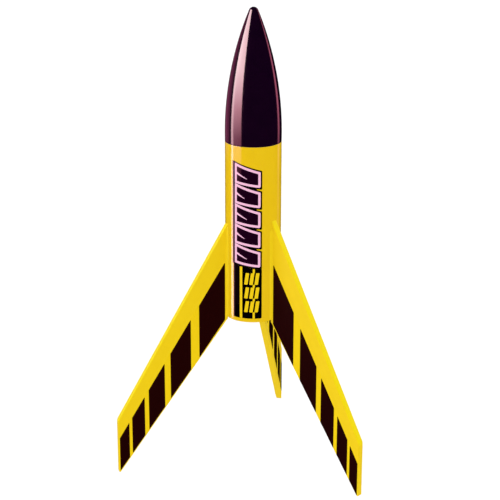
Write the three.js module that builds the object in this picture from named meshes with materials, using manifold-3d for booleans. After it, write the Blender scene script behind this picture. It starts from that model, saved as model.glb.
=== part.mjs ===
// A small three-finned model rocket: a paper tube with a push-fit plastic nose cone, swept balsa
// fins glued on edge, a launch lug, a thrust ring for a 13 mm motor, and thin film decals.
// Millimetres, +Z up. The origin is the middle of the footprint, on the surface the fins stand on.
import * as THREE from "three";
import { mergeVertices } from "three/addons/utils/BufferGeometryUtils.js";
import Module from "manifold-3d";

const wasm = await Module();
wasm.setup();

// ---- Driving dimensions ----
const TUBE = { outer: 6.88, wall: 0.33, length: 44.45, tail: 38.65 }; // tail: height of its aft rim
const NOSE = { skirt: 2.1, ogive: 78.5, tip: 1.2, seat: 0.02 }; // straight skirt, ogive and tip radii
const SHOULDER = { length: 6.35, play: 0.08, chamfer: 0.4 }; // the plug that slides into the tube
const NOSE_WALL = 1.1;
const NOSE_SOLID = 4.4; // how far below the tip's sphere the hollow starts to close
const NOSE_BASE = { thickness: 1.2, play: 0.05 }; // the plate that closes the nose cone
const EYELET = { ring: 1.5, wire: 0.45 }; // loop under that plate
const THRUST_RING = { outer: 6.5, inner: 5.2, length: 5, below: 0.3 }; // below: gap to the shoulder
const FIN = {
  azimuths: { right_fin: 330, back_fin: 90, left_fin: 210 }, // degrees from +X
  thickness: 1.6,
  root: 6.93, // distance of the flat root edge from the tube's axis
  span: 28.47, // root edge to tip edge
  rootTop: 62.95,
  rootBottom: 37.95,
  tipTop: 14.05,
  foot: 0.3, // flat that the fin stands on, at the bottom of its tip
  edge: 0.25, // rounding of the leading edge's two corners
};
const DECAL = {
  thickness: 0.1,
  lift: 0.03, // gap to the surface below, so that no two bodies touch
  inner: 7.45, // distances of its ends from the tube's axis
  outer: 35.15,
  aboveTrailing: 0.4, // height of its lower edge above the fin's trailing edge
  innerTop: 53.3, // heights of the two ends of its upper edge
  outerTop: 10.1,
};
const BODY_DECALS = {
  upper_body_decal: { from: 53.7, to: 79.7 },
  lower_body_decal: { from: 39.5, to: 53.6 },
};
const BODY_DECAL_HALF_ANGLE = 31; // degrees either side of the line between the two front fins
const FILLET = { leg: 0.5, gap: 0.03, inset: 1, hollow: 0.15 }; // glue bead in a fin root's corner
const LUG = { outer: 2, inner: 1.75, length: 25.4, aft: 41, gap: 0.04 };
const LUG_BEAD = { gap: 0.03, near: 0.32, reach: 1.15, inset: 2 }; // glue between lug and tube
const ROUND = 64; // facets round the tube and everything on its axis
const SMALL_ROUND = 24; // facets round the launch lug

// ---- Dimensions that follow ----
const tubeInner = TUBE.outer - TUBE.wall;
const tubeTop = TUBE.tail + TUBE.length;
const shoulderR = tubeInner - SHOULDER.play;
const noseBottom = tubeTop + NOSE.seat - SHOULDER.length;
const baseR = shoulderR - NOSE_WALL - NOSE_BASE.play;
const ringTop = noseBottom - THRUST_RING.below;
const tipR = FIN.root + FIN.span;
const halfFin = FIN.thickness / 2;
const decalFace = halfFin + DECAL.lift;
const radians = THREE.MathUtils.degToRad;

// ---- Finishes ----
const finish = (color, roughness) => new THREE.MeshStandardMaterial({ color, roughness, metalness: 0 });
const nosePlastic = finish(0x120616, 0.18);
const insertPlastic = finish(0x17141a, 0.45);
const yellowTube = finish(0xe9c11c, 0.3);
const yellowFin = finish(0xebc81e, 0.45);
const paper = finish(0xb9976a, 0.85);
const whitePaper = finish(0xe9e4d6, 0.8);
const glue = finish(0xe6c42a, 0.35);
const film = finish(0x1c0b0d, 0.35);
const bodyFilm = finish(0x1a0a14, 0.25);

// ---- Helpers ----
function piece(name, geometry, material) {
  const mesh = new THREE.Mesh(geometry, material);
  mesh.name = name;
  return mesh;
}

// A body turned about Z from [radius, height] pairs.
function turned(points, facets = ROUND) {
  const profile = points.map(([r, z]) => new THREE.Vector2(r, z));
  return new THREE.LatheGeometry(profile, facets).rotateX(Math.PI / 2);
}

function pipe(outer, inner, bottom, top, facets = ROUND) {
  const profile = [
    [inner, bottom],
    [outer, bottom],
    [outer, top],
    [inner, top],
    [inner, bottom],
  ];
  return turned(profile, facets);
}

// A plate whose outline is drawn in X and Z, centred on the plane Y = y.
function plate(outline, thickness, y = 0) {
  const geometry = new THREE.ExtrudeGeometry(outline, { depth: thickness, bevelEnabled: false });
  return geometry.rotateX(Math.PI / 2).translate(0, y + thickness / 2, 0);
}

function outlineOf(points) {
  return new THREE.Shape(points.map(([x, y]) => new THREE.Vector2(x, y)));
}

function upright(outline, bottom, top, curveSegments = 12) {
  const options = { depth: top - bottom, bevelEnabled: false, curveSegments };
  return new THREE.ExtrudeGeometry(outline, options).translate(0, 0, bottom);
}

function solid(geometry) {
  geometry.deleteAttribute("normal");
  geometry.deleteAttribute("uv");
  const merged = mergeVertices(geometry, 1e-4);
  const triVerts = new Uint32Array(merged.index.array);
  const vertProperties = merged.attributes.position.array;
  return new wasm.Manifold(new wasm.Mesh({ numProp: 3, vertProperties, triVerts }));
}

function geometryOf(manifold) {
  const mesh = manifold.getMesh();
  const geometry = new THREE.BufferGeometry();
  geometry.setAttribute("position", new THREE.BufferAttribute(mesh.vertProperties, 3));
  geometry.setIndex(new THREE.BufferAttribute(mesh.triVerts, 1));
  geometry.computeVertexNormals();
  return geometry;
}

// ---- Tube and thrust ring ----
function bodyTube() {
  return pipe(TUBE.outer, tubeInner, TUBE.tail, tubeTop);
}

function thrustRing() {
  return pipe(THRUST_RING.outer, THRUST_RING.inner, ringTop - THRUST_RING.length, ringTop);
}

// ---- Nose cone ----
// Radius of the ogive, or of a shell inside it, at a height above the skirt.
function ogiveRadius(height, inset = 0) {
  const arc = NOSE.ogive - inset;
  return Math.sqrt(arc ** 2 - height ** 2) - (NOSE.ogive - TUBE.outer);
}

function noseCone() {
  const seat = tubeTop + NOSE.seat;
  const skirtTop = seat + NOSE.skirt;
  const inner = shoulderR - NOSE_WALL;
  // The tip is a sphere tangent to the ogive, whose centre is that far above the skirt.
  const arcCentreR = NOSE.ogive - TUBE.outer;
  const tipCentre = Math.sqrt((NOSE.ogive - NOSE.tip) ** 2 - arcCentreR ** 2);
  const touch = Math.asin(tipCentre / (NOSE.ogive - NOSE.tip));
  const touchHeight = tipCentre + NOSE.tip * Math.sin(touch);
  const hollowTop = touchHeight - NOSE_SOLID;

  const outside = [
    [inner, noseBottom],
    [shoulderR - SHOULDER.chamfer, noseBottom],
    [shoulderR, noseBottom + SHOULDER.chamfer],
    [shoulderR, seat],
    [TUBE.outer, seat],
  ];
  const OGIVE_STEPS = 12;
  for (let i = 0; i <= OGIVE_STEPS; i++) {
    const height = (touchHeight * i) / OGIVE_STEPS;
    outside.push([ogiveRadius(height), skirtTop + height]);
  }
  const TIP_STEPS = 4;
  for (let i = 1; i <= TIP_STEPS; i++) {
    const angle = touch + ((Math.PI / 2 - touch) * i) / TIP_STEPS;
    const r = i === TIP_STEPS ? 0 : NOSE.tip * Math.cos(angle);
    outside.push([r, skirtTop + tipCentre + NOSE.tip * Math.sin(angle)]);
  }
  const inside = [[0, skirtTop + hollowTop + NOSE_WALL]];
  const HOLLOW_STEPS = 6;
  for (let i = HOLLOW_STEPS; i >= 0; i--) {
    const height = (hollowTop * i) / HOLLOW_STEPS;
    inside.push([Math.min(inner, ogiveRadius(height, NOSE_WALL)), skirtTop + height]);
  }
  inside.push([inner, noseBottom]);
  return turned([...outside, ...inside]);
}

function noseConeBase() {
  const top = noseBottom + NOSE_BASE.thickness;
  const disc = turned([[0, noseBottom], [baseR, noseBottom], [baseR, top], [0, top]]);
  // The loop's centre is a little below the plate, and its upper part is cut off inside it.
  const loop = new THREE.TorusGeometry(EYELET.ring, EYELET.wire, 8, 20).rotateX(Math.PI / 2);
  loop.translate(0, 0, noseBottom - EYELET.wire);
  const room = new THREE.BoxGeometry(4 * EYELET.ring, 4 * EYELET.wire, 4 * EYELET.ring);
  room.translate(0, 0, top - NOSE_BASE.thickness / 2 - 2 * EYELET.ring);
  return geometryOf(solid(disc).add(solid(loop).intersect(solid(room))));
}

// ---- Fins. Each is made pointing along +X and turned to its azimuth by its group ----
const trailingSlope = FIN.rootBottom / (FIN.span - FIN.foot);
const trailingHeight = (r) => FIN.rootBottom - trailingSlope * (r - FIN.root);

function fin() {
  const planform = outlineOf([
    [FIN.root, FIN.rootBottom],
    [tipR - FIN.foot, 0],
    [tipR, 0],
    [tipR, FIN.tipTop],
    [FIN.root, FIN.rootTop],
  ]);
  // The leading edge is cut square and its two corners are eased. The same line bounds a wider
  // plate with eased edges, and only that line's easing reaches into the planform.
  const slope = (FIN.rootTop - FIN.tipTop) / FIN.span;
  const spare = 4;
  const wider = outlineOf([
    [FIN.root - spare, -spare],
    [tipR + spare, -spare],
    [tipR + spare, FIN.tipTop - spare * slope],
    [FIN.root - spare, FIN.rootTop + spare * slope],
  ]);
  const land = halfFin - FIN.edge; // half the flat left at the middle of the leading edge
  const eased = new THREE.ExtrudeGeometry(wider, {
    depth: 2 * land,
    bevelThickness: FIN.edge,
    bevelSize: FIN.edge,
    bevelOffset: -FIN.edge,
    bevelSegments: 4,
  });
  eased.rotateX(Math.PI / 2).translate(0, land, 0);
  return geometryOf(solid(plate(planform, FIN.thickness)).intersect(solid(eased)));
}

function finDecal(side) {
  const outline = outlineOf([
    [DECAL.inner, trailingHeight(DECAL.inner) + DECAL.aboveTrailing],
    [DECAL.outer, trailingHeight(DECAL.outer) + DECAL.aboveTrailing],
    [DECAL.outer, DECAL.outerTop],
    [DECAL.inner, DECAL.innerTop],
  ]);
  return plate(outline, DECAL.thickness, side * (decalFace + DECAL.thickness / 2));
}

// The bead fills the corner between the tube and one face of the fin, with a hollow outer side.
function finFillet(side) {
  const wallR = TUBE.outer + FILLET.gap;
  const face = halfFin + FILLET.gap;
  const start = Math.asin(face / wallR);
  const end = Math.asin((face + FILLET.leg) / wallR);
  const at = (r, angle) => new THREE.Vector2(r * Math.cos(angle), side * r * Math.sin(angle));
  const corner = at(wallR, start);
  const far = at(wallR, end);
  const outline = new THREE.Shape();
  outline.moveTo(corner.x, corner.y);
  outline.lineTo(corner.x + FILLET.leg, corner.y);
  outline.quadraticCurveTo(corner.x + FILLET.hollow, corner.y + side * FILLET.hollow, far.x, far.y);
  return upright(outline, FIN.rootBottom + FILLET.inset, FIN.rootTop - FILLET.inset, 5);
}

// ---- Body decals: curved films between the two front fins ----
function bodyDecal({ from, to }) {
  const inner = TUBE.outer + DECAL.lift;
  const outer = inner + DECAL.thickness;
  const start = radians(270 - BODY_DECAL_HALF_ANGLE);
  const end = radians(270 + BODY_DECAL_HALF_ANGLE);
  const outline = new THREE.Shape();
  outline.absarc(0, 0, outer, start, end, false);
  outline.absarc(0, 0, inner, end, start, true);
  return upright(outline, from, to, 14);
}

// ---- Launch lug, in the corner between the back fin and the tube ----
const lugDistance = TUBE.outer + LUG.gap + LUG.outer;
const lugOffset = decalFace + DECAL.thickness + LUG.gap + LUG.outer;
const lugAngle = radians(FIN.azimuths.back_fin) + Math.asin(lugOffset / lugDistance);

function launchLug() {
  return pipe(LUG.outer, LUG.inner, LUG.aft, LUG.aft + LUG.length, SMALL_ROUND);
}

// The bead lies in the groove between the lug and the tube, on the side away from the fin.
// It is drawn with the lug on +X.
function lugBead() {
  const tubeSide = TUBE.outer + LUG_BEAD.gap;
  const lugSide = LUG.outer + LUG_BEAD.gap;
  const outline = new THREE.Shape();
  const STEPS = 6;
  const { near, reach } = LUG_BEAD; // from where the groove is wide enough for glue
  const onTube = (y) => new THREE.Vector2(Math.sqrt(tubeSide ** 2 - y ** 2), y);
  const onLug = (y) => new THREE.Vector2(lugDistance - Math.sqrt(lugSide ** 2 - y ** 2), y);
  const points = [];
  for (let i = 0; i <= STEPS; i++) {
    points.push(onTube(near + ((reach - near) * i) / STEPS));
  }
  for (let i = STEPS; i >= 0; i--) {
    points.push(onLug(near + ((reach - near) * i) / STEPS));
  }
  outline.setFromPoints(points);
  return upright(outline, LUG.aft + LUG_BEAD.inset, LUG.aft + LUG.length - LUG_BEAD.inset);
}

// ---- Assembly ----
const rocket = new THREE.Group();
rocket.add(
  piece("body_tube", bodyTube(), yellowTube),
  piece("thrust_ring", thrustRing(), paper),
  piece("nose_cone", noseCone(), nosePlastic),
  piece("nose_cone_base", noseConeBase(), insertPlastic),
);
for (const [name, span] of Object.entries(BODY_DECALS)) {
  rocket.add(piece(name, bodyDecal(span), bodyFilm));
}

for (const [name, azimuth] of Object.entries(FIN.azimuths)) {
  const turn = new THREE.Group();
  turn.rotation.z = radians(azimuth);
  turn.add(piece(name, fin(), yellowFin));
  // Side a is the face reached first going anticlockwise, seen from above.
  for (const [letter, side] of [["a", 1], ["b", -1]]) {
    turn.add(
      piece(`${name}_decal_${letter}`, finDecal(side), film),
      piece(`${name}_fillet_${letter}`, finFillet(side), glue),
    );
  }
  rocket.add(turn);
}

const lugTurn = new THREE.Group();
lugTurn.rotation.z = lugAngle;
const lug = piece("launch_lug", launchLug(), whitePaper);
lug.position.x = lugDistance;
lugTurn.add(lug, piece("launch_lug_bead", lugBead(), glue));
rocket.add(lugTurn);

// The footprint reaches to the back fin's tip, and forwards to the front fins' outer tip corners.
const reachBack = tipR;
const reachFront = tipR * Math.sin(radians(30)) + halfFin * Math.cos(radians(30));
rocket.position.y = -(reachBack - reachFront) / 2;

const modelRocket = new THREE.Group();
modelRocket.add(rocket);

export default modelRocket;
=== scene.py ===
"""A small yellow model rocket with a dark plastic nose cone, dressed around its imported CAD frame.

The frame gives the places and the main sizes. Shapes are worked out in millimetres, because
the rocket is small, and turned into the frame's metres where each mesh is made.
"""
import math

import bmesh
import bpy
from mathutils import Matrix, Vector, noise


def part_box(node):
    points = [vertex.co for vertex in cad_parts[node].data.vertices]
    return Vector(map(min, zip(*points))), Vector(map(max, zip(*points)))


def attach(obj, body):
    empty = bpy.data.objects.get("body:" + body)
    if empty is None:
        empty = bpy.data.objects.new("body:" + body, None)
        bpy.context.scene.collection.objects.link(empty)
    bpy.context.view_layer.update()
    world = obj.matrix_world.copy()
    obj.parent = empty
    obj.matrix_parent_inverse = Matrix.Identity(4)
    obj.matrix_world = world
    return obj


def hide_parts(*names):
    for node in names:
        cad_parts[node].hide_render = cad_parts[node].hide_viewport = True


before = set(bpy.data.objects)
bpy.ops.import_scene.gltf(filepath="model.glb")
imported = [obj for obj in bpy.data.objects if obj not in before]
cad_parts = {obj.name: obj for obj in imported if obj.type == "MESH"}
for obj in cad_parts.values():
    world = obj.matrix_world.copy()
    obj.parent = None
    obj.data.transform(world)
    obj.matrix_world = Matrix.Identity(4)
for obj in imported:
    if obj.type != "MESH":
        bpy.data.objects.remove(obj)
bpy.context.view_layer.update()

MM = 0.001


# ---------------------------------------------------------------- sizes from the frame
def node_box(name):
    """Lowest and highest corner of a CAD node, in millimetres."""
    low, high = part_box(name)
    return low / MM, high / MM


tube_low, tube_high = node_box("body_tube")
AXIS = (tube_low + tube_high) / 2
AXIS.z = 0
TUBE_R = (tube_high.x - tube_low.x) / 2
TAIL, TOP = tube_low.z, tube_high.z

nose_low, nose_high = node_box("nose_cone")
ring_low, ring_high = node_box("thrust_ring")
lug_low, lug_high = node_box("launch_lug")
FIN_AZIMUTHS = {"right_fin": 330, "back_fin": 90, "left_fin": 210}
FIN_NODES = tuple(FIN_AZIMUTHS)


def back_fin_plan():
    """The planform's corners: distances from the tube's axis, heights, and half the thickness.
    They are read from the back fin, which points along +Y."""
    points = [v.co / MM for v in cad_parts["back_fin"].data.vertices]
    near = min(p.y for p in points)
    far = max(p.y for p in points)
    slack = 0.05
    root = [p.z for p in points if p.y < near + slack]
    tip = [p.z for p in points if p.y > far - slack]
    foot = min(p.y for p in points if p.z < slack)
    half = max(abs(p.x - AXIS.x) for p in points)
    return {
        "root": near - AXIS.y,
        "tip": far - AXIS.y,
        "root_top": max(root),
        "root_bottom": min(root),
        "tip_top": max(tip),
        "foot": foot - AXIS.y,
        "half": half,
    }


PLAN = back_fin_plan()
LEAD_SLOPE = (PLAN["root_top"] - PLAN["tip_top"]) / (PLAN["tip"] - PLAN["root"])
TRAIL_SLOPE = PLAN["root_bottom"] / (PLAN["foot"] - PLAN["root"])


def trail_height(r):
    return PLAN["root_bottom"] - TRAIL_SLOPE * (r - PLAN["root"])


# ---------------------------------------------------------------- shader helpers
def material(name):
    """A new node material: (material, node tree, principled shader)."""
    made = bpy.data.materials.new(name)
    made.use_nodes = True
    tree = made.node_tree
    shader = tree.nodes["Principled BSDF"]
    return made, tree, shader


def add(tree, kind, **settings):
    made = tree.nodes.new(kind)
    for key, value in settings.items():
        setattr(made, key, value)
    return made


def calc(tree, operation, *values):
    """The result of a math node whose inputs are numbers or other nodes' outputs."""
    node = add(tree, "ShaderNodeMath", operation=operation)
    for socket, value in zip(node.inputs, values):
        if isinstance(value, float):
            socket.default_value = value
        else:
            tree.links.new(value, socket)
    return node.outputs[0]


def placed(tree, scale=(1, 1, 1), turn=(0, 0, 0)):
    """Object coordinates in millimetres, scaled and turned."""
    coords = add(tree, "ShaderNodeTexCoord")
    mapping = add(tree, "ShaderNodeMapping")
    mapping.inputs["Scale"].default_value = [s / MM for s in scale]
    mapping.inputs["Rotation"].default_value = turn
    tree.links.new(coords.outputs["Object"], mapping.inputs["Vector"])
    return mapping.outputs["Vector"]


def noise_of(tree, vector, scale, detail=3.0, rough=0.5):
    texture = add(tree, "ShaderNodeTexNoise")
    texture.inputs["Scale"].default_value = scale
    texture.inputs["Detail"].default_value = detail
    texture.inputs["Roughness"].default_value = rough
    tree.links.new(vector, texture.inputs["Vector"])
    return texture.outputs["Fac"]


def ramp(tree, value, low, high, from_value, to_value):
    """value mapped from low..high to from_value..to_value, clamped."""
    node = add(tree, "ShaderNodeMapRange")
    node.inputs["From Min"].default_value = low
    node.inputs["From Max"].default_value = high
    node.inputs["To Min"].default_value = from_value
    node.inputs["To Max"].default_value = to_value
    tree.links.new(value, node.inputs["Value"])
    return node.outputs["Result"]


def coloured(tree, shader, factor, first, second):
    """The base colour goes from first to second with factor."""
    node = add(tree, "ShaderNodeMix", data_type="RGBA")
    node.inputs[6].default_value = (*first, 1)
    node.inputs[7].default_value = (*second, 1)
    tree.links.new(factor, node.inputs[0])
    tree.links.new(node.outputs[2], shader.inputs["Base Color"])


def roughened(tree, shader, value, low, high):
    """The roughness goes from low to high with a noise value."""
    tree.links.new(ramp(tree, value, 0.3, 0.7, low, high), shader.inputs["Roughness"])


def shine(shader, level, tint=(1, 1, 1, 1)):
    """How strongly the surface reflects, and in what tint."""
    shader.inputs["Specular IOR Level"].default_value = level
    shader.inputs["Specular Tint"].default_value = tint


def bump(tree, shader, height, distance, strength=1.0, before=None):
    """A bump of that height in millimetres; before is an earlier bump's normal."""
    node = add(tree, "ShaderNodeBump")
    node.inputs["Strength"].default_value = strength
    node.inputs["Distance"].default_value = distance * MM
    tree.links.new(height, node.inputs["Height"])
    if before is not None:
        tree.links.new(before, node.inputs["Normal"])
    tree.links.new(node.outputs["Normal"], shader.inputs["Normal"])
    return node.outputs["Normal"]


# ---------------------------------------------------------------- materials
TUBE_YELLOW = (0.81, 0.535, 0.0085)
TUBE_YELLOW_DEEP = (0.76, 0.480, 0.0075)
FIN_YELLOW = (0.84, 0.590, 0.0070)
FIN_YELLOW_DEEP = (0.80, 0.550, 0.0060)
PAINTED_LIGHT_EDGE_YELLOW = (0.84, 0.660, 0.0030)  # a lighter, more lemon yellow on the leading edges: painted light where they face up into the lamps
PAINTED_LIGHT_EDGE_YELLOW_DEEP = (0.80, 0.620, 0.0030)
WARM_GLOSS = (1.0, 0.62, 0.66, 1)  # tint of the reflections on dark plastic and on film
COAT_GLOSS = (1.0, 0.62, 0.95, 1)  # on the tube's coating
PAINT_GLOSS = (1.0, 0.8, 0.3, 1)  # on painted balsa and glue
FULL_SHINE, PAINT_SHINE = 0.5, 0.12
PAINT_ROUGHNESS = (0.42, 0.55)


def nose_plastic():
    """Glossy injection-moulded plastic, almost black with a purple cast."""
    made, tree, shader = material("nose_plastic")
    vector = placed(tree)
    cloud = noise_of(tree, vector, 0.35, 2)
    coloured(tree, shader, cloud, (0.0040, 0.0002, 0.0060), (0.0075, 0.0004, 0.0085))
    roughened(tree, shader, noise_of(tree, vector, 2.2, 4), 0.08, 0.13)
    shine(shader, FULL_SHINE, WARM_GLOSS)
    bump(tree, shader, noise_of(tree, vector, 0.7, 2), 0.005, 0.5)
    return made


def insert_plastic():
    """The duller plastic of the plate that closes the nose cone."""
    made, tree, shader = material("insert_plastic")
    vector = placed(tree)
    cloud = noise_of(tree, vector, 0.8)
    coloured(tree, shader, cloud, (0.012, 0.009, 0.014), (0.022, 0.018, 0.025))
    roughened(tree, shader, noise_of(tree, vector, 5, 4), 0.38, 0.55)
    bump(tree, shader, noise_of(tree, vector, 9, 4), 0.01, 0.6)
    return made


def spiral_seam(tree, pitch, width):
    """1 on a helical seam round Z, 0 away from it. The object's own origin is on the axis."""
    coords = add(tree, "ShaderNodeTexCoord")
    split = add(tree, "ShaderNodeSeparateXYZ")
    tree.links.new(coords.outputs["Object"], split.inputs["Vector"])
    angle = calc(tree, "ARCTAN2", split.outputs["Y"], split.outputs["X"])
    turns = calc(tree, "MULTIPLY", angle, 1 / math.tau)
    climb = calc(tree, "MULTIPLY_ADD", split.outputs["Z"], 1 / (pitch * MM), turns)
    wrapped = calc(tree, "PINGPONG", climb, 0.5)
    return ramp(tree, wrapped, 0, width / pitch, 1, 0)


def tube_coat():
    """Glossy yellow coating over spiral-wound paper: the seam and the paper just show."""
    made, tree, shader = material("tube_coat")
    vector = placed(tree)
    coloured(tree, shader, noise_of(tree, vector, 0.22, 3), TUBE_YELLOW, TUBE_YELLOW_DEEP)
    roughened(tree, shader, noise_of(tree, vector, 1.6, 4), 0.045, 0.075)
    shine(shader, FULL_SHINE, COAT_GLOSS)
    fibres = noise_of(tree, placed(tree, (1, 1, 0.25)), 1.6, 3, 0.5)
    paper = bump(tree, shader, fibres, 0.002, 0.4)
    bump(tree, shader, spiral_seam(tree, 21, 0.12), -0.008, 0.6, paper)
    return made


def bare_paper(name, light, dark, seam):
    """Bare brown paper with fibres and, on a tube's inside, its spiral seam."""
    made, tree, shader = material(name)
    fibres = noise_of(tree, placed(tree, (1, 1, 0.35)), 4.5, 6, 0.65)
    coloured(tree, shader, fibres, dark, light)
    shader.inputs["Roughness"].default_value = 0.85
    shine(shader, 0.2)
    rough = bump(tree, shader, fibres, 0.03, 0.8)
    if seam:
        bump(tree, shader, spiral_seam(tree, 16, 0.2), -0.05, 0.8, rough)
    return made


def wound_paper():
    """The cut end of a wound tube: rings of paper layers."""
    made, tree, shader = material("wound_paper_end")
    layer = 0.11 * MM
    coords = add(tree, "ShaderNodeTexCoord")
    flat = add(tree, "ShaderNodeVectorMath", operation="MULTIPLY")
    flat.inputs[1].default_value = (1, 1, 0)
    tree.links.new(coords.outputs["Object"], flat.inputs[0])
    radius = add(tree, "ShaderNodeVectorMath", operation="LENGTH")
    tree.links.new(flat.outputs[0], radius.inputs[0])
    phase = calc(tree, "MULTIPLY", radius.outputs["Value"], math.tau / layer)
    tone = ramp(tree, calc(tree, "SINE", phase), -1, 1, 0, 1)
    coloured(tree, shader, tone, (0.46, 0.34, 0.21), (0.60, 0.47, 0.32))
    shader.inputs["Roughness"].default_value = 0.9
    shine(shader, 0.15)
    bump(tree, shader, tone, 0.02, 0.7)
    return made


def fin_paint(name, light, dark):
    """Yellow paint over balsa: the grain runs along the leading edge and stands faintly proud."""
    made, tree, shader = material(name)
    seed = add(tree, "ShaderNodeAttribute", attribute_name="piece_seed")
    # Turned first, so that X runs along the leading edge, then drawn out along it.
    along = placed(tree, turn=(0, -math.atan(LEAD_SLOPE), 0))
    stretched = add(tree, "ShaderNodeVectorMath", operation="MULTIPLY_ADD")
    stretched.inputs[1].default_value = (0.06, 1, 1)
    tree.links.new(along, stretched.inputs[0])
    tree.links.new(seed.outputs["Vector"], stretched.inputs[2])
    grain = noise_of(tree, stretched.outputs[0], 2.6, 5, 0.6)
    coloured(tree, shader, noise_of(tree, placed(tree), 0.55, 4, 0.6), light, dark)
    roughened(tree, shader, grain, *PAINT_ROUGHNESS)
    shine(shader, PAINT_SHINE, PAINT_GLOSS)
    fine = bump(tree, shader, grain, 0.012, 0.5)
    bump(tree, shader, noise_of(tree, placed(tree), 6, 3), 0.004, 0.4, fine)
    return made


def glue_bead():
    """White glue, wiped smooth and painted over with the fins."""
    made, tree, shader = material("painted_glue")
    vector = placed(tree)
    coloured(tree, shader, noise_of(tree, vector, 0.8, 3), FIN_YELLOW, FIN_YELLOW_DEEP)
    roughened(tree, shader, noise_of(tree, vector, 1.4, 3), *PAINT_ROUGHNESS)
    shine(shader, PAINT_SHINE, PAINT_GLOSS)
    bump(tree, shader, noise_of(tree, vector, 1.1, 3), 0.02, 0.5)
    return made


# Roughness from and to, and strength of reflection.
FIN_SURFACE = (0.45, 0.58, 0.02)
BODY_SURFACE = (0.04, 0.06, 0.4)


def printed(name, first, second, surface):
    """Ink on thin film."""
    made, tree, shader = material(name)
    vector = placed(tree)
    smooth, rough, level = surface
    coloured(tree, shader, noise_of(tree, vector, 0.9, 4), first, second)
    roughened(tree, shader, noise_of(tree, vector, 2.5, 4), smooth, rough)
    shine(shader, level, WARM_GLOSS)
    bump(tree, shader, noise_of(tree, vector, 1.8, 3), 0.003, 0.4)
    return made


NOSE_PLASTIC = nose_plastic()
INSERT_PLASTIC = insert_plastic()
TUBE_COAT = tube_coat()
KRAFT = bare_paper("kraft_paper", (0.50, 0.36, 0.22), (0.38, 0.26, 0.15), seam=True)
RING_PAPER = bare_paper("ring_paper", (0.56, 0.43, 0.28), (0.44, 0.32, 0.19), seam=False)
WOUND_END = wound_paper()
FIN_PAINT = fin_paint("fin_paint", FIN_YELLOW, FIN_YELLOW_DEEP)
# A lighter copy of the fin paint for the leading edges: painted light, not a different paint.
PAINTED_LIGHT_EDGE_COAT = fin_paint("painted_light_edge_coat", PAINTED_LIGHT_EDGE_YELLOW, PAINTED_LIGHT_EDGE_YELLOW_DEEP)
GLUE = glue_bead()
FIN_FILM = printed("fin_film", FIN_YELLOW, FIN_YELLOW_DEEP, FIN_SURFACE)
FIN_BLACK = printed(
    "fin_black", (0.0115, 0.0002, 0.0002), (0.0145, 0.0004, 0.0003), FIN_SURFACE
)
BODY_BLACK = printed(
    "body_black", (0.0004, 0.0002, 0.0003), (0.0009, 0.0004, 0.0006), BODY_SURFACE
)
BODY_DARK = printed(
    "body_dark", (0.0085, 0.0002, 0.0062), (0.0105, 0.0003, 0.0080), BODY_SURFACE
)
BODY_PINK = printed("body_pink", (0.90, 0.51, 0.68), (0.87, 0.48, 0.66), BODY_SURFACE)
BODY_YELLOW = printed("body_yellow", (0.86, 0.60, 0.008), (0.82, 0.55, 0.009), BODY_SURFACE)


# ---------------------------------------------------------------- mesh helpers
def finish_piece(name, verts, faces, materials, body, replaces=(), face_materials=None,
                 origin=AXIS, turn=0, sharp=35):
    """Makes an object of points in millimetres. origin is the point of the row frame that the
    points are measured from, and turn its rotation about Z in degrees."""
    mesh = bpy.data.meshes.new(name)
    mesh.from_pydata([Vector(v) * MM for v in verts], [], faces)
    for m in materials:
        mesh.materials.append(m)
    if face_materials is not None:
        mesh.polygons.foreach_set("material_index", face_materials)
    bm = bmesh.new()
    bm.from_mesh(mesh)
    bmesh.ops.remove_doubles(bm, verts=bm.verts, dist=0.0005 * MM)
    bmesh.ops.recalc_face_normals(bm, faces=bm.faces)
    bm.to_mesh(mesh)
    bm.free()
    mesh.shade_smooth()
    mesh.set_sharp_from_angle(angle=math.radians(sharp))
    made = bpy.data.objects.new(name, mesh)
    bpy.context.scene.collection.objects.link(made)
    made.matrix_world = Matrix.Translation(Vector(origin) * MM) @ Matrix.Rotation(
        math.radians(turn), 4, "Z"
    )
    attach(made, body)
    if replaces:
        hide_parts(*replaces)
    return made


def rounded(points, radii, steps=4, closed=True):
    """The outline with each corner replaced by an arc of its radius."""
    radii = radii if isinstance(radii, (list, tuple)) else [radii] * len(points)
    out = []
    count = len(points)
    for i, corner in enumerate(points):
        if radii[i] == 0 or (not closed and i in (0, count - 1)):
            out.append(tuple(corner))
            continue
        here = Vector(corner)
        before = Vector(points[i - 1]) - here
        after = Vector(points[(i + 1) % count]) - here
        a, b = before.normalized(), after.normalized()
        half = a.angle(b) / 2
        reach = min(radii[i] / math.tan(half), before.length * 0.49, after.length * 0.49)
        radius = reach * math.tan(half)
        centre = here + (a + b).normalized() * (radius / math.sin(half))
        start, end = here + a * reach - centre, here + b * reach - centre
        sweep = start.angle_signed(end)
        for k in range(steps + 1):
            t = -sweep * k / steps
            turned = Vector((
                start.x * math.cos(t) - start.y * math.sin(t),
                start.x * math.sin(t) + start.y * math.cos(t),
            ))
            out.append(tuple(centre + turned))
    return out


BRACE = 0.1  # how far from its ends a long side gets an extra point


def braced(points, closed=True):
    """The outline with a point just inside both ends of each long side, so that the smooth shading
    of a rounded corner doesn't run out over the flat beside it."""
    out = []
    for i, start in enumerate(points):
        out.append(tuple(start))
        if not closed and i == len(points) - 1:
            break
        a, b = Vector(start), Vector(points[(i + 1) % len(points)])
        length = (b - a).length
        if length > 4 * BRACE:
            out.append(tuple(a.lerp(b, BRACE / length)))
            out.append(tuple(b.lerp(a, BRACE / length)))
    return out


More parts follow.
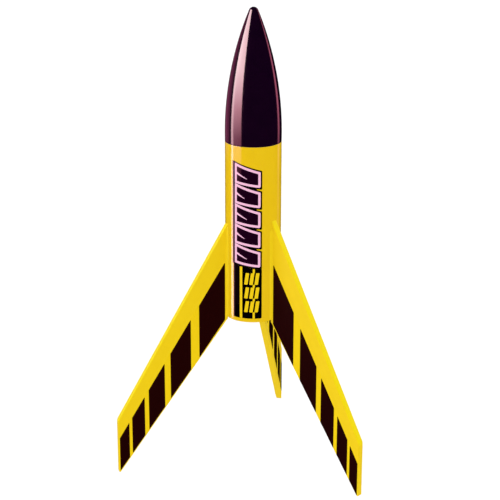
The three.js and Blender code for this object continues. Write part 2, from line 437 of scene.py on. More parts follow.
def lathe(profile, segments, close=True, angles=None):
    """Quads round Z from (radius, height) points. Points on the axis become one vertex."""
    angles = angles or [math.tau * i / segments for i in range(segments)]
    rings = []
    verts = []
    for r, z in profile:
        if r < 1e-6:
            rings.append([len(verts)] * len(angles))
            verts.append((0, 0, z))
            continue
        rings.append(list(range(len(verts), len(verts) + len(angles))))
        verts.extend((r * math.cos(a), r * math.sin(a), z) for a in angles)
    faces, bands = [], []
    pairs = list(zip(range(len(profile)), range(1, len(profile))))
    if close:
        pairs.append((len(profile) - 1, 0))
    for band, (i, j) in enumerate(pairs):
        for k in range(len(angles)):
            n = (k + 1) % len(angles)
            face = [rings[i][k], rings[i][n], rings[j][n], rings[j][k]]
            face = [v for at, v in enumerate(face) if v != face[at - 1]]
            if len(face) > 2:
                faces.append(face)
                bands.append(band)
    return verts, faces, bands


def loft(rings):
    """Quads between closed rings of equal length, with a face at each end."""
    size = len(rings[0])
    verts = [p for ring in rings for p in ring]
    faces = []
    for i in range(len(rings) - 1):
        for k in range(size):
            n = (k + 1) % size
            faces.append((i * size + k, i * size + n, (i + 1) * size + n, (i + 1) * size + k))
    faces.append(tuple(range(size)))
    faces.append(tuple(range((len(rings) - 1) * size, len(rings) * size)))
    return verts, faces


def slab(outline, low, high, cuts=0.0):
    """A flat piece in X and Z between y = low and y = high, as verts and faces. With cuts, its
    broad faces are split every so many millimetres of X, so that it can be bent round the tube."""
    bm = bmesh.new()
    ring = [bm.verts.new((x, low, z)) for x, z in outline]
    bm.faces.new(ring)
    if cuts:
        left = min(x for x, _ in outline)
        right = max(x for x, _ in outline)
        for i in range(1, int((right - left) / cuts) + 1):
            geometry = bm.verts[:] + bm.edges[:] + bm.faces[:]
            bmesh.ops.bisect_plane(
                bm, geom=geometry, plane_co=(left + i * cuts, 0, 0), plane_no=(1, 0, 0)
            )
    made = bmesh.ops.extrude_face_region(bm, geom=bm.faces[:])
    for v in made["geom"]:
        if isinstance(v, bmesh.types.BMVert):
            v.co.y = high
    bm.verts.index_update()
    verts = [tuple(v.co) for v in bm.verts]
    faces = [tuple(v.index for v in f.verts) for f in bm.faces]
    bm.free()
    return verts, faces


def joined(parts):
    """Several (verts, faces, material index) as one: verts, faces, material index of each face."""
    verts, faces, indices = [], [], []
    for part_verts, part_faces, index in parts:
        base = len(verts)
        verts.extend(part_verts)
        faces.extend(tuple(v + base for v in f) for f in part_faces)
        indices.extend([index] * len(part_faces))
    return verts, faces, indices


# ---------------------------------------------------------------- tube and thrust ring
TUBE_WALL = 0.33
TUBE_RIM = 0.07  # rounding of its rims
RING_BORE = 5.2
RING_RIM = 0.08


def make_paper_tube(name, node, outer, inner, ends, rim, segments, coated=0.001,
                    finishes=(TUBE_COAT, KRAFT, WOUND_END), origin=AXIS):
    """A paper tube between two heights. rim is the rounding of its ends, finishes those of its
    outside, bore and ends, and coated how far in from the outside the first reaches over them."""
    low, high = ends
    corners = [(outer, low), (outer, high), (inner, high), (inner, low)]
    profile = braced(rounded(corners, rim, 3))
    verts, faces, bands = lathe(profile, segments)

    def finish_of(band):
        radii = profile[band][0], profile[(band + 1) % len(profile)][0]
        if min(radii) > outer - coated:
            return 0
        return 1 if max(radii) < inner + 0.001 else 2

    return finish_piece(
        name, verts, faces, finishes, "airframe", [node], [finish_of(b) for b in bands],
        origin=origin,
    )


def make_body_tube():
    return make_paper_tube(
        "body_tube_shell", "body_tube", TUBE_R, TUBE_R - TUBE_WALL, (TAIL, TOP),
        rim=TUBE_RIM, segments=192, coated=TUBE_RIM,
    )


def make_thrust_ring():
    outer = (ring_high.x - ring_low.x) / 2
    return make_paper_tube(
        "thrust_ring_paper", "thrust_ring", outer, RING_BORE,
        (ring_low.z, ring_high.z), rim=RING_RIM, segments=128,
        finishes=(RING_PAPER, RING_PAPER, WOUND_END),
    )


# ---------------------------------------------------------------- nose cone
OGIVE_R = 78.5
TIP_R = 1.2
SKIRT = 2.1  # height of the straight band below the ogive
SEAT = TOP + 0.02  # height of the step that sits on the tube's rim
NOSE_WALL = 1.1
NOSE_SOLID = 4.4  # how far below the tip's sphere the hollow starts to close
NOSE_EDGE = 0.12  # rounding of the step
SHOULDER_R = TUBE_R - TUBE_WALL - 0.08  # the tube's bore less the play
NOSE_BORE = SHOULDER_R - NOSE_WALL
# Two shallow grooves round the shoulder take up the play when tape is wound on it.
GROOVES = (1.5, 3.7)  # heights above the shoulder's end
GROOVE_WIDTH, GROOVE_DEPTH = 0.7, 0.15


def ogive(height, inset=0.0):
    return math.sqrt((OGIVE_R - inset) ** 2 - height**2) - (OGIVE_R - TUBE_R)


def shoulder_outline():
    """The outside of the cone from its open end to the top of the skirt."""
    groove_r = SHOULDER_R - GROOVE_DEPTH
    corners = [(NOSE_BORE, nose_low.z), (SHOULDER_R, nose_low.z)]
    radii = [0.1, 0.4]
    for height in GROOVES:
        start = nose_low.z + height
        end = start + GROOVE_WIDTH
        corners += [
            (SHOULDER_R, start),
            (groove_r, start + GROOVE_DEPTH),
            (groove_r, end - GROOVE_DEPTH),
            (SHOULDER_R, end),
        ]
        radii += [0.05] * 4
    corners += [(SHOULDER_R, SEAT), (TUBE_R, SEAT), (TUBE_R, SEAT + SKIRT)]
    radii += [0.1, NOSE_EDGE, 0]
    return braced(rounded(corners, radii, 4, closed=False), closed=False)


def nose_profile():
    """The whole outline of the cone: up its outside, round the tip and down its inside."""
    base = SEAT + SKIRT
    centre = math.sqrt((OGIVE_R - TIP_R) ** 2 - (OGIVE_R - TUBE_R) ** 2)  # of the tip, above base
    touch = math.asin(centre / (OGIVE_R - TIP_R))
    touch_height = centre + TIP_R * math.sin(touch)
    hollow = touch_height - NOSE_SOLID
    steps, tip_steps, hollow_steps = 72, 10, 20
    profile = shoulder_outline()
    for i in range(1, steps + 1):
        height = touch_height * i / steps
        profile.append((ogive(height), base + height))
    for i in range(1, tip_steps + 1):
        angle = touch + (math.pi / 2 - touch) * i / tip_steps
        r = 0 if i == tip_steps else TIP_R * math.cos(angle)
        profile.append((r, base + centre + TIP_R * math.sin(angle)))
    profile.append((0, base + hollow + NOSE_WALL))
    for i in range(hollow_steps, -1, -1):
        height = hollow * i / hollow_steps
        profile.append((min(NOSE_BORE, ogive(height, NOSE_WALL)), base + height))
    return profile


MOULD_SEAMS = (math.radians(12), math.radians(192))  # angles round the axis
SEAM_SPREAD = 0.012  # radians
SEAM_HEIGHT = 0.012  # millimetres


def seam_angles(count):
    """Angles round the axis, closer together near each mould seam."""
    angles = {round(math.tau * i / count, 6) for i in range(count)}
    for seam in MOULD_SEAMS:
        for i in range(-6, 7):
            angles.add(round((seam + SEAM_SPREAD * i / 3) % math.tau, 6))
    return sorted(angles)


def on_outside(r, z):
    """Whether a point of the cone is on its outer face, clear of the step and of the tip."""
    if not TOP + 0.3 < z < nose_high.z - 2:
        return False
    return r > ogive(max(0, z - TOP - SKIRT)) - 0.2


def make_nose_cone():
    angles = seam_angles(144)
    verts, faces, _ = lathe(nose_profile(), len(angles), angles=angles)
    raised = []
    for x, y, z in verts:
        r = math.hypot(x, y)
        if on_outside(r, z):
            angle = math.atan2(y, x) % math.tau
            off = min(abs((angle - s + math.pi) % math.tau - math.pi) for s in MOULD_SEAMS)
            grow = 1 + SEAM_HEIGHT / r * math.exp(-((off / SEAM_SPREAD) ** 2))
            x, y = x * grow, y * grow
        raised.append((x, y, z))
    return finish_piece(
        "nose_cone_shell", raised, faces, [NOSE_PLASTIC], "nose", ["nose_cone"],
        sharp=40,
    )


WIRE_R, EYELET_R = 0.45, 1.5  # the eyelet's wire, and the middle of its loop


def eyelet_rings(plate_low):
    """Half a loop of wire below the plate, with straight legs that run up into it."""
    steps, around = 40, 16
    middle = Vector((0, 0, plate_low - WIRE_R))
    rings = []
    for i in range(steps + 1):
        angle = math.pi + math.pi * i / steps
        out = Vector((math.cos(angle), 0, math.sin(angle)))
        ring = []
        for k in range(around):
            a = math.tau * k / around
            sideways = Vector((0, WIRE_R * math.sin(a), 0))
            ring.append(middle + out * (EYELET_R + WIRE_R * math.cos(a)) + sideways)
        rings.append(ring)
    leg = Vector((0, 0, WIRE_R + 0.5))
    rings.insert(0, [p + leg for p in rings[0]])
    rings.append([p + leg for p in rings[-1]])
    return rings


def make_nose_base():
    low, high = node_box("nose_cone_base")
    plate_low, plate_high = nose_low.z, high.z
    radius = (high.x - low.x) / 2
    recess, recess_r = 0.25, 3.1
    corners = [
        (0, plate_low + recess),
        (recess_r, plate_low + recess),
        (recess_r + recess, plate_low),
        (radius, plate_low),
        (radius, plate_high),
        (0, plate_high),
    ]
    profile = braced(rounded(corners, [0, 0.1, 0.1, 0.15, 0.15, 0], 3, closed=False), closed=False)
    disc_verts, disc_faces, _ = lathe(profile, 96, close=False)
    loop_verts, loop_faces = loft(eyelet_rings(plate_low))
    verts, faces, indices = joined([(disc_verts, disc_faces, 0), (loop_verts, loop_faces, 0)])
    return finish_piece(
        "nose_cone_plate", verts, faces, [INSERT_PLASTIC], "nose",
        ["nose_cone_base"], indices,
    )


# ---------------------------------------------------------------- fins
CORNER_TOP = 2.0  # radius of the tip's upper corner in the planform
LEAD_EASE = 0.24  # rounding of the leading edge's two corners
TRAIL_EASE = 0.09  # rounding of the trailing edge's
ROOT_SINK = 0.15  # how far the root runs into the tube's wall
LEAD_STEPS, FACE_STEPS, TRAIL_STEPS = 6, 10, 4
PAINTED_LIGHT_EDGE_STRIPS = LEAD_STEPS + 1  # strips, each side of the middle, that take the leading edge's lighter yellow, which is painted light

# The fins are cut and sanded by hand, so each differs a little: how much higher its upper root
# corner sits, the radius of its lower tip corner, and how deep and how long its tip's rounding is.
HAND_CUT = {
    "right_fin": (1.3, 0.2, 0.3, 0.3),
    "back_fin": (0.0, 0.3, 0.6, 1.2),
    "left_fin": (-0.2, 0.2, 0.3, 0.3),
}


def fin_plan_heights(rise, corner_low):
    """Stations from root to tip: (distance from the axis, trailing height, leading height)."""
    corners = [
        (PLAN["root"], PLAN["root_bottom"]),
        (PLAN["tip"], trail_height(PLAN["tip"])),
        (PLAN["tip"], PLAN["tip_top"]),
        (PLAN["root"], PLAN["root_top"] + rise),
    ]
    outline = rounded(corners, [0, corner_low, CORNER_TOP, 0], 14)
    outermost = max(range(len(outline)), key=lambda i: (outline[i][0], -outline[i][1]))
    lower = outline[: outermost + 1]
    upper = outline[outermost:][::-1]

    def height(side, r):
        for (r0, z0), (r1, z1) in zip(side, side[1:]):
            if r0 <= r <= r1 and r1 > r0:
                return z0 + (z1 - z0) * (r - r0) / (r1 - r0)
        return side[-1][1]

    root, tip = PLAN["root"], PLAN["tip"]
    fine = 1.2  # the stations are closer together over this last stretch
    steps, fine_steps = 40, 26
    radii = [root + (tip - fine - root) * i / steps for i in range(steps + 1)]
    radii += [tip - fine * (1 - i / fine_steps) ** 1.8 for i in range(1, fine_steps)]
    radii.append(tip - 0.0005)
    stations = [(r, height(lower, r), height(upper, r)) for r in radii]
    _, low, top = stations[0]
    return [(root - ROOT_SINK, low, top)] + stations


def fin_section(r, low, top, tip_depth, tip_run):
    """The cut through the fin at one distance from the axis, as a ring of points. The tip is
    rounded by thinning the last stations, and their own roundings shrink to fit them."""
    past = max(0.0, r - (PLAN["tip"] - tip_run)) / tip_run
    half = PLAN["half"] - tip_depth * (1 - math.sqrt(1 - past**2))
    tall = top - low
    lead = min(LEAD_EASE, half * 0.6)
    lead_drop = min(lead / math.cos(math.atan(LEAD_SLOPE)), tall * 0.3)
    trail = min(TRAIL_EASE, half * 0.4)
    trail_rise = min(trail / math.cos(math.atan(TRAIL_SLOPE)), tall * 0.2)
    inner = half - lead
    side = [(0, top), (inner - min(BRACE, inner) / 2, top)]
    for i in range(LEAD_STEPS + 1):
        a = math.pi / 2 * i / LEAD_STEPS
        side.append((inner + lead * math.sin(a), top - lead_drop * (1 - math.cos(a))))
    brace = min(BRACE, tall * 0.1)
    flat_top, flat_low = top - lead_drop - brace, low + trail_rise + brace
    for i in range(FACE_STEPS + 1):
        side.append((half, flat_top + (flat_low - flat_top) * i / FACE_STEPS))
    for i in range(TRAIL_STEPS + 1):
        a = math.pi / 2 * i / TRAIL_STEPS
        side.append((half - trail * (1 - math.cos(a)), low + trail_rise * (1 - math.sin(a))))
    side.append((0, low))
    other = [(-y, z) for y, z in reversed(side[1:-1])]
    return [(r, y, z) for y, z in side + other]


def make_fin(name, seed):
    rise, corner_low, tip_depth, tip_run = HAND_CUT[name]
    stations = fin_plan_heights(rise, corner_low)
    rings = [fin_section(*station, tip_depth, tip_run) for station in stations]
    verts, faces = loft(rings)
    around = len(rings[0])
    strips = [i % around for i in range(len(faces) - 2)]
    # The leading edge's faces take the lighter yellow: painted light where they face up into the
    # lamps.
    faces_paint_or_painted_light = [1 if min(k, around - 1 - k) < PAINTED_LIGHT_EDGE_STRIPS else 0 for k in strips] + [0, 0]
    made = finish_piece(
        name + "_balsa", verts, faces, [FIN_PAINT, PAINTED_LIGHT_EDGE_COAT], "airframe", [name],
        faces_paint_or_painted_light, turn=FIN_AZIMUTHS[name], sharp=50,
    )
    tag_seed(made, seed)
    return made


def tag_seed(piece, seed):
    """A shift that gives each fin its own stretch of grain."""
    attribute = piece.data.attributes.new("piece_seed", "FLOAT_VECTOR", "POINT")
    attribute.data.foreach_set("vector", [seed, seed * 1.7, seed * 0.6] * len(piece.data.vertices))


# ---------------------------------------------------------------- fin decals
BLOCKS = 5
FIRST_BLOCK, BLOCK_RATIO = 6.75, 0.79
FIRST_GAP, GAP_RATIO = 2.15, 0.70
BLOCK_START = 7.5
# The film was laid on and trimmed by hand too. For each fin: the height of the blocks' upper line
# at BLOCK_START and its slope, the height of their lower line above the trailing edge there and
# further out, over how many millimetres that changes, and how far out the blocks reach.
TRIM = {
    "right_fin": (53.35, 1.615, 0.60, 0.12, 9, PLAN["tip"] - 0.3),
    "back_fin": (52.75, 1.559, 2.60, 1.60, 25, 34.3),
    "left_fin": (53.05, 1.584, 0.80, 0.42, 6, PLAN["tip"] - 0.3),
}
FILM = 0.035  # thickness of the carrier film
INK = 0.02  # thickness of the printed blocks


def make_fin_decal(fin, letter, side):
    name = f"{fin}_decal_{letter}"
    face = side * PLAN["half"]

    def layer(outline, low, high, index):
        verts, faces = slab(outline, face + side * low, face + side * high)
        return verts, faces, index

    start_top, slope, root_margin, tip_margin, run, reach = TRIM[fin]

    def top(r):
        return start_top - slope * (r - BLOCK_START)

    def low(r):
        outwards = min(1, (r - BLOCK_START) / run)
        return trail_height(r) + root_margin + (tip_margin - root_margin) * outwards

    inner, outer = BLOCK_START - 0.1, reach + 0.05
    spare = 0.4  # how far the film shows past the blocks
    film = [
        (inner, low(inner) - spare),
        (outer, trail_height(outer) + 0.05),
        (outer, top(outer) + spare),
        (inner, top(inner) + spare),
    ]
    parts = [layer(rounded(film, 0.3, 4), -0.02, FILM, 0)]
    start = BLOCK_START
    for k in range(BLOCKS):
        end = start + FIRST_BLOCK * BLOCK_RATIO**k
        end = min(end, reach)
        block = [(start, low(start)), (end, low(end)), (end, top(end)), (start, top(start))]
        parts.append(layer(rounded(block, 0.08, 3), FILM * 0.5, FILM + INK, 1))
        start = end + FIRST_GAP * GAP_RATIO**k
    verts, faces, indices = joined(parts)
    return finish_piece(
        name + "_film", verts, faces, [FIN_FILM, FIN_BLACK], "airframe", [name],
        indices, turn=FIN_AZIMUTHS[fin],
    )


# ---------------------------------------------------------------- glue beads
BEAD_LEG = 0.5  # how far a fin's bead reaches along the tube and the fin
BEAD_SINK = 0.08  # how far its edges run into them
BEAD_INSET = 0.8  # how far it stops short of the fin root's ends


def bead_rings(section, low, high, steps, taper, wobble, seed):
    """Rings of a bead whose cross-section shrinks into its corner at both ends.
    section(size) gives the ring's points for a size of 1 or so."""
    rings = []
    for i in range(steps + 1):
        z = low + (high - low) * i / steps
        end = min(z - low, high - z)
        size = math.sqrt(max(0.02, 1 - (1 - min(1, end / taper)) ** 2))
        size *= 1 + wobble * noise.noise(Vector((z * 0.45, seed, 0.3)))
        rings.append([(x, y, z) for x, y in section(size)])
    return rings


def make_fillet(fin, letter, side, seed):
    name = f"{fin}_fillet_{letter}"
    half = PLAN["half"]
    corner = Vector((math.sqrt(TUBE_R**2 - half**2), half))

    def section(size):
        reach = BEAD_LEG * size
        at = math.asin((half + reach) / TUBE_R)
        on_tube = Vector((TUBE_R * math.cos(at), TUBE_R * math.sin(at)))
        on_fin = corner + Vector((reach, 0))
        pull = corner + Vector((0.22, 0.22)) * reach  # draws the face of the bead inwards
        points = [corner - Vector((0.12, 0.12)), on_tube - Vector((BEAD_SINK, 0))]
        steps = 9
        for i in range(steps + 1):
            t = i / steps
            points.append(on_tube * (1 - t) ** 2 + pull * (2 * t * (1 - t)) + on_fin * t**2)
        points.append(on_fin - Vector((0, BEAD_SINK)))
        return [(p.x, side * p.y) for p in points]

    low, high = PLAN["root_bottom"] + BEAD_INSET, PLAN["root_top"] - BEAD_INSET
    rings = bead_rings(section, low, high, steps=70, taper=1.2, wobble=0.25, seed=seed)
    verts, faces = loft(rings)
    return finish_piece(
        name + "_bead", verts, faces, [GLUE], "airframe", [name],
        turn=FIN_AZIMUTHS[fin], sharp=60,
    )


# ---------------------------------------------------------------- launch lug
LUG_R = (lug_high.x - lug_low.x) / 2
LUG_WALL, LUG_RIM = 0.25, 0.06
LUG_CENTRE = (lug_low + lug_high) / 2
LUG_CENTRE.z = 0


def make_launch_lug():
    return make_paper_tube(
        "launch_lug_tube", "launch_lug", LUG_R, LUG_R - LUG_WALL,
        (lug_low.z, lug_high.z), rim=LUG_RIM, segments=72, origin=LUG_CENTRE,
    )


def make_lug_bead():
    """Glue in the groove on one side of the lug, drawn with the lug on +X of the tube."""
    towards = LUG_CENTRE - AXIS
    distance = towards.length
    azimuth = math.degrees(math.atan2(towards.y, towards.x))
    sink, inset_ends = 0.02, 1.6

    def section(size):
        near, far = 0.2, 0.2 + size
        points = []
        steps = 8
        for i in range(steps + 1):
            y = near + (far - near) * i / steps
            points.append((math.sqrt(TUBE_R**2 - y * y) - sink, y))
        tube_edge = Vector(points[-1])
        lug_edge = Vector((distance - math.sqrt(LUG_R**2 - far * far) + sink, far))
        for i in range(1, 5):
            t = i / 5
            sag = 0.7 * size * t * (1 - t)
            p = tube_edge.lerp(lug_edge, t)
            points.append((p.x, p.y - sag))
        for i in range(steps, -1, -1):
            y = near + (far - near) * i / steps
            points.append((distance - math.sqrt(LUG_R**2 - y * y) + sink, y))
        return points

    low, high = lug_low.z + inset_ends, lug_high.z - inset_ends
    rings = bead_rings(section, low, high, steps=60, taper=1.5, wobble=0.22, seed=7.7)
    verts, faces = loft(rings)
    return finish_piece(
        "launch_lug_glue", verts, faces, [GLUE], "airframe", ["launch_lug_bead"],
        turn=azimuth, sharp=60,
    )


# ---------------------------------------------------------------- body decals
# Outlines are drawn flat: the distance round the tube from the line between the two front
# fins, positive towards the right fin, and the height. They are then bent round the tube.
BODY_FILM = 0.03  # thickness of the carrier film
BEND_STEP = 0.35
# How high above the tube each print stands. None is level with another that it lies on.
YELLOW_TOP = BODY_FILM + 0.02
PINK_TOP = BODY_FILM + 0.015
DARK_TOP = BODY_FILM + 0.03
SLIVER_TOP = BODY_FILM + 0.035


def bent(outline, low, high, index):
    """A closed film bent round the tube, between two heights above its surface."""
    verts, faces = slab(outline, low, high, BEND_STEP)
    curved = []
    for along, lift, z in verts:
        r = TUBE_R + lift
        angle = along / TUBE_R
        curved.append((r * math.sin(angle), -r * math.cos(angle), z))
    return curved, faces, index


def inset(points, distance):
    """A convex outline moved inwards by distance, or outwards if it is negative."""
    count = len(points)
    area = sum(
        points[i][0] * points[(i + 1) % count][1] - points[(i + 1) % count][0] * points[i][1]
        for i in range(count)
    )
    turn = 1 if area > 0 else -1
    lines = []
    for i in range(count):
        a, b = Vector(points[i]), Vector(points[(i + 1) % count])
        along = (b - a).normalized()
        inwards = Vector((-along.y, along.x)) * turn
        lines.append((a + inwards * distance, along))
    return [meeting(lines[i - 1], lines[i]) for i in range(count)]


def meeting(first, second):
    """Where two lines, each a point and a direction, cross."""
    (p, d), (q, e) = first, second
    cross = d.x * e.y - d.y * e.x
    t = ((q.x - p.x) * e.y - (q.y - p.y) * e.x) / cross
    return (p.x + d.x * t, p.y + d.y * t)


FEATHERS = 5
WING_LEFT, WING_RIGHT = -3.3, 3.3
WING_TOP = 79.1
FEATHER = 5.05  # height of each feather at the spine
FEATHER_DROP = 2.1  # how much lower its outer end is
FEATHER_END = 3.95  # height of that outer end
PINK_LINE = 0.62
BLACK_LINE = 0.36
SPINE_LINE = 0.40  # how much wider the black line is along the spine


def feather_corners(k):
    top = WING_TOP - FEATHER * k
    tip_top = top - FEATHER_DROP
    return [
        (WING_LEFT, top - FEATHER),
        (WING_RIGHT, tip_top - FEATHER_END),
        (WING_RIGHT, tip_top),
        (WING_LEFT, top),
    ]


def wing_surround():
    """One black outline round all the feathers, with a notch between each two outer ends."""
    outers = [inset(feather_corners(k), -BLACK_LINE) for k in range(FEATHERS)]
    edge = []
    for k, corners in enumerate(outers):
        low_left, low_right, top_right, top_left = (Vector(c) for c in corners)
        low_left.x -= SPINE_LINE
        top_left.x -= SPINE_LINE
        if k == 0:
            edge.append(tuple(top_left))
        edge.append(tuple(top_right))
        edge.append(tuple(low_right))
        if k < FEATHERS - 1:
            below = [Vector(c) for c in outers[k + 1]]
            first = (low_right, low_left - low_right)
            second = (below[2], below[3] - below[2])
            edge.append(meeting(first, second))
        else:
            edge.append(tuple(low_left))
    return edge


def sliver(k, dark):
    """A pink sliver that runs into a feather from the spine."""
    left, top = dark[3]
    middle = (top + dark[0][1]) / 2
    length = 2.6 if k % 2 else 3.4
    return [
        (left - 0.05, middle - 0.1),
        (left + length, middle - 0.55 - 0.29 * length),
        (left - 0.05, middle + 0.5),
    ]


def make_upper_decal():
    seam = 0.02  # keeps neighbouring feathers apart
    parts = [bent(rounded(wing_surround(), 0.22, 3), -0.01, BODY_FILM, 0)]
    for k in range(FEATHERS):
        corners = feather_corners(k)
        pink = rounded(inset(corners, seam), [0.1, 0.35, 0.25, 0.1], 4)
        dark = inset(corners, PINK_LINE)
        point = rounded(sliver(k, dark), [0.02, 0.06, 0.02], 2)
        parts.append(bent(pink, BODY_FILM / 2, PINK_TOP, 1))
        parts.append(bent(rounded(dark, 0.12, 3), BODY_FILM, DARK_TOP, 2))
        parts.append(bent(point, BODY_FILM, SLIVER_TOP, 1))
    verts, faces, indices = joined(parts)
    return finish_piece(
        "upper_body_film", verts, faces, [BODY_BLACK, BODY_PINK, BODY_DARK], "airframe",
        ["upper_body_decal"], indices,
    )


PANEL = {"left": -3.75, "right": 3.66, "bottom": 39.65}
STRIPE = (-1.86, -1.20)  # left and right side of the wide yellow line
THIN_LINE = (1.42, 1.93)  # and of the thin one, which shows between the rows of bars
BAR_ROWS = ((48.5, 51.5), (44.9, 47.8), (41.3, 44.2))  # lowest and highest point
BARS, FIRST_BAR = 3, -0.72
BAR_WIDTH, BAR_PITCH, BAR_LEAN = 0.86, 1.27, 0.42


def rectangle(left, right, low, top):
    return [(left, low), (right, low), (right, top), (left, top)]


def make_lower_decal():
    surround = wing_surround()
    gap = 0.02  # between the two films
    low_left, low_right = Vector(surround[-1]), Vector(surround[-2])

    def panel_top(x):
        t = (x - low_left.x) / (low_right.x - low_left.x)
        return low_left.y + (low_right.y - low_left.y) * t - gap

    left, right, bottom = PANEL["left"], PANEL["right"], PANEL["bottom"]
    outline = [(left, bottom), (right, bottom), (right, panel_top(right)), (left, panel_top(left))]
    parts = [bent(rounded(outline, [0.3, 0.3, 0.02, 0.02], 4), -0.01, BODY_FILM, 0)]

    def mark(shape, radius):
        parts.append(bent(rounded(shape, radius, 3), BODY_FILM / 2, YELLOW_TOP, 1))

    top_margin, bottom_margin = 0.15, 0.05
    mark(rectangle(*STRIPE, bottom + bottom_margin, panel_top(-1.7) - top_margin), 0.05)
    ends = [panel_top(1.7) - top_margin]
    for low, top in BAR_ROWS:
        ends += [top, low]
    ends.append(bottom + bottom_margin)
    for top, low in zip(ends[::2], ends[1::2]):
        mark(rectangle(*THIN_LINE, low - 0.02, top + 0.02), 0.04)
    for low, top in BAR_ROWS:
        for i in range(BARS):
            x = FIRST_BAR + BAR_PITCH * i
            far = x + BAR_WIDTH
            mark([(x, low), (far, low), (far + BAR_LEAN, top), (x + BAR_LEAN, top)], 0.14)
    verts, faces, indices = joined(parts)
    return finish_piece(
        "lower_body_film", verts, faces, [BODY_BLACK, BODY_YELLOW], "airframe",
        ["lower_body_decal"], indices,
    )


# ---------------------------------------------------------------- camera, floor and lights
VIEW_AZIMUTH = 12.18  # degrees from looking along +Y, about the rocket's axis
VIEW_DISTANCE = 359.6  # from that axis
VIEW_HEIGHT = 174.15
VIEW_PITCH, VIEW_YAW, VIEW_ROLL = 18.302, -0.118, 0.117  # degrees
VIEW_LENS = 110.13


def make_camera():
    pitch, yaw, roll = (math.radians(v) for v in (VIEW_PITCH, VIEW_YAW, VIEW_ROLL))
    ahead = Vector((
        math.sin(yaw) * math.cos(pitch),
        math.cos(yaw) * math.cos(pitch),
        -math.sin(pitch),
    ))
    right = Vector((math.cos(yaw), -math.sin(yaw), 0))
    up = right.cross(ahead)
    rolled_right = right * math.cos(roll) + up * math.sin(roll)
    rolled_up = up * math.cos(roll) - right * math.sin(roll)
    turn = Matrix.Rotation(math.radians(VIEW_AZIMUTH), 4, "Z")
    facing = Matrix((rolled_right, rolled_up, -ahead)).transposed().to_4x4()
    place = Matrix.Translation(Vector((0, -VIEW_DISTANCE, VIEW_HEIGHT)) * MM)
    camera = bpy.data.objects.new("camera", bpy.data.cameras.new("camera"))
    camera.data.lens = VIEW_LENS
    camera.data.clip_start = 0.01
    camera.matrix_world = Matrix.Translation(AXIS * MM) @ turn @ place @ facing
    bpy.context.scene.collection.objects.link(camera)
    bpy.context.scene.camera = camera


def make_floor():
    half = 40.0  # metres
    corners = [(-half, -half, 0), (half, -half, 0), (half, half, 0), (-half, half, 0)]
    mesh = bpy.data.meshes.new("floor")
    mesh.from_pydata(corners, [], [(0, 1, 2, 3)])
    floor = bpy.data.objects.new("floor", mesh)
    made, tree, shader = material("floor_paper")
    cloud = noise_of(tree, placed(tree), 0.02, 2)
    coloured(tree, shader, cloud, (0.90, 0.90, 0.90), (0.92, 0.92, 0.92))
    shader.inputs["Roughness"].default_value = 0.9
    shine(shader, 0.1)
    mesh.materials.append(made)
    bpy.context.scene.collection.objects.link(floor)
    floor.visible_glossy = False


CARD_DISTANCE = 100.0  # millimetres from the rocket's axis
PANEL_SPREAD = 70  # degrees


def glow_card(name, start, end, low, high, stops):
    """A card of light that only shows as a reflection. start and end are directions from the
    rocket's axis, in degrees to the right of the camera; low and high are heights in
    millimetres; stops are (height, radiance, colour) from the bottom up."""
    width = 2 * CARD_DISTANCE * math.tan(math.radians(abs(end - start) / 2))
    tall = high - low
    data = bpy.data.lights.new(name, "AREA")
    data.shape = "RECTANGLE"
    data.size = width * MM
    data.size_y = tall * MM
    data.energy = math.pi * data.size * data.size_y
    data.use_nodes = True
    tree = data.node_tree
    emission = tree.nodes["Emission"]
    place_on_card = add(tree, "ShaderNodeNewGeometry")
    split = add(tree, "ShaderNodeSeparateXYZ")
    shades = add(tree, "ShaderNodeValToRGB")
    tree.links.new(place_on_card.outputs["Parametric"], split.inputs["Vector"])
    tree.links.new(split.outputs["Y"], shades.inputs["Fac"])
    tree.links.new(shades.outputs["Color"], emission.inputs["Color"])
    brightest = max(radiance for _, radiance, _ in stops)
    emission.inputs["Strength"].default_value = brightest
    elements = shades.color_ramp.elements
    while len(elements) < len(stops):
        elements.new(0.5)
    for element, (height, radiance, colour) in zip(elements, stops):
        element.position = (height - low) / tall
        element.color = [c * radiance / brightest for c in colour] + [1]
    lamp = bpy.data.objects.new(name, data)
    angle = math.radians(270 + VIEW_AZIMUTH + (start + end) / 2)
    outwards = Vector((math.cos(angle), math.sin(angle), 0))
    place = AXIS + outwards * CARD_DISTANCE + Vector((0, 0, (low + high) / 2))
    facing = outwards.to_track_quat("Z", "Y").to_matrix().to_4x4()
    lamp.matrix_world = Matrix.Translation(place * MM) @ facing
    lamp.visible_camera = False
    lamp.visible_diffuse = False
    bpy.context.scene.collection.objects.link(lamp)


def soft_panel(name, towards, energy):
    """A wide, even light from one direction, which gives no reflection."""
    data = bpy.data.lights.new(name, "SUN")
    data.angle = math.radians(PANEL_SPREAD)
    data.energy = energy
    lamp = bpy.data.objects.new(name, data)
    lamp.matrix_world = Vector(towards).to_track_quat("Z", "Y").to_matrix().to_4x4()
    lamp.visible_camera = False
    lamp.visible_glossy = False
    bpy.context.scene.collection.objects.link(lamp)


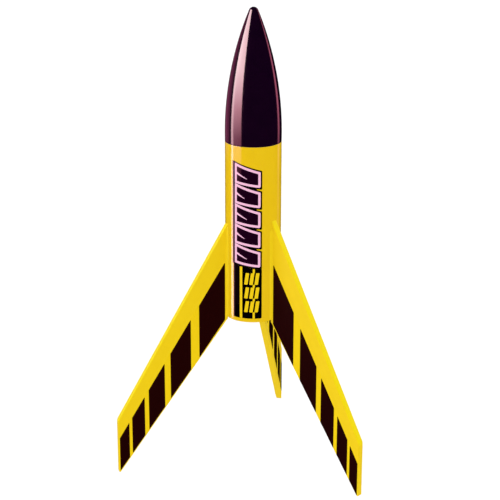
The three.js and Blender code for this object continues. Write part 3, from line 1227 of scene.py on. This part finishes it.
def make_lights():
    world = bpy.data.worlds.new("studio")
    world.use_nodes = True
    background = world.node_tree.nodes["Background"]
    background.inputs["Color"].default_value = (1, 1, 1, 1)
    background.inputs["Strength"].default_value = 0.62
    world.cycles_visibility.glossy = False
    bpy.context.scene.world = world
    soft_panel("left_panel", (-0.97, -0.26, 0.36), 1.0)
    soft_panel("front_panel", (0.42, -0.91, 0.36), 0.67)
    soft_panel("top_panel", (0, 0, 1), 0.7)
    soft_panel("rear_panel", (0.6, 0.6, 0.9), 0.8)
    rose, red = (1.0, 0.40, 0.61), (1.0, 0.45, 0.47)
    violet, crimson = (1.0, 0.22, 0.48), (1.0, 0.27, 0.42)
    glow_card("left_box", -86, -48, 8, 210, [
        (46, 0.1, rose),
        (58, 3.1, rose),
        (84, 10.5, (1.0, 0.66, 0.76)),
        (98, 15.6, (1.0, 0.85, 0.91)),
        (116, 20.4, (1.0, 1.0, 1.0)),
    ])
    glow_card("left_strip", -98, -86, 3, 210, [
        (3, 9.0, (1.0, 0.72, 0.78)),
        (55, 9.0, (1.0, 0.72, 0.80)),
        (80, 12.5, (1.0, 0.82, 0.86)),
        (116, 20.0, (1.0, 0.98, 0.98)),
    ])
    glow_card("left_edge", -86, -79, 3, 46, [(3, 2.6, red), (46, 2.6, red)])
    glow_card("left_glow", -152, -110, 10, 210, [
        (52, 0.05, violet),
        (60, 0.75, violet),
        (120, 0.55, violet),
    ])
    glow_card("right_strip", 114, 128, 10, 210, [
        (10, 0.3, crimson),
        (50, 0.7, crimson),
        (64, 2.2, crimson),
        (85, 3.2, crimson),
    ])


# ---------------------------------------------------------------- assembly
make_camera()
make_body_tube()
make_thrust_ring()
make_nose_cone()
make_nose_base()
make_launch_lug()
make_lug_bead()
make_upper_decal()
make_lower_decal()
for number, fin_name in enumerate(FIN_NODES):
    pieces = [make_fin(fin_name, 3.1 * (number + 1))]
    for fin_letter, fin_side in (("a", 1), ("b", -1)):
        pieces.append(make_fin_decal(fin_name, fin_letter, fin_side))
        pieces.append(make_fillet(fin_name, fin_letter, fin_side, number + 0.37 * fin_side))
    for piece in pieces:
        piece.visible_glossy = False  # so that no fin breaks the long highlight on the tube
        piece.visible_diffuse = False  # and none darkens the tube beside its root
make_floor()
make_lights()
bpy.context.scene.view_settings.view_transform = "Standard"
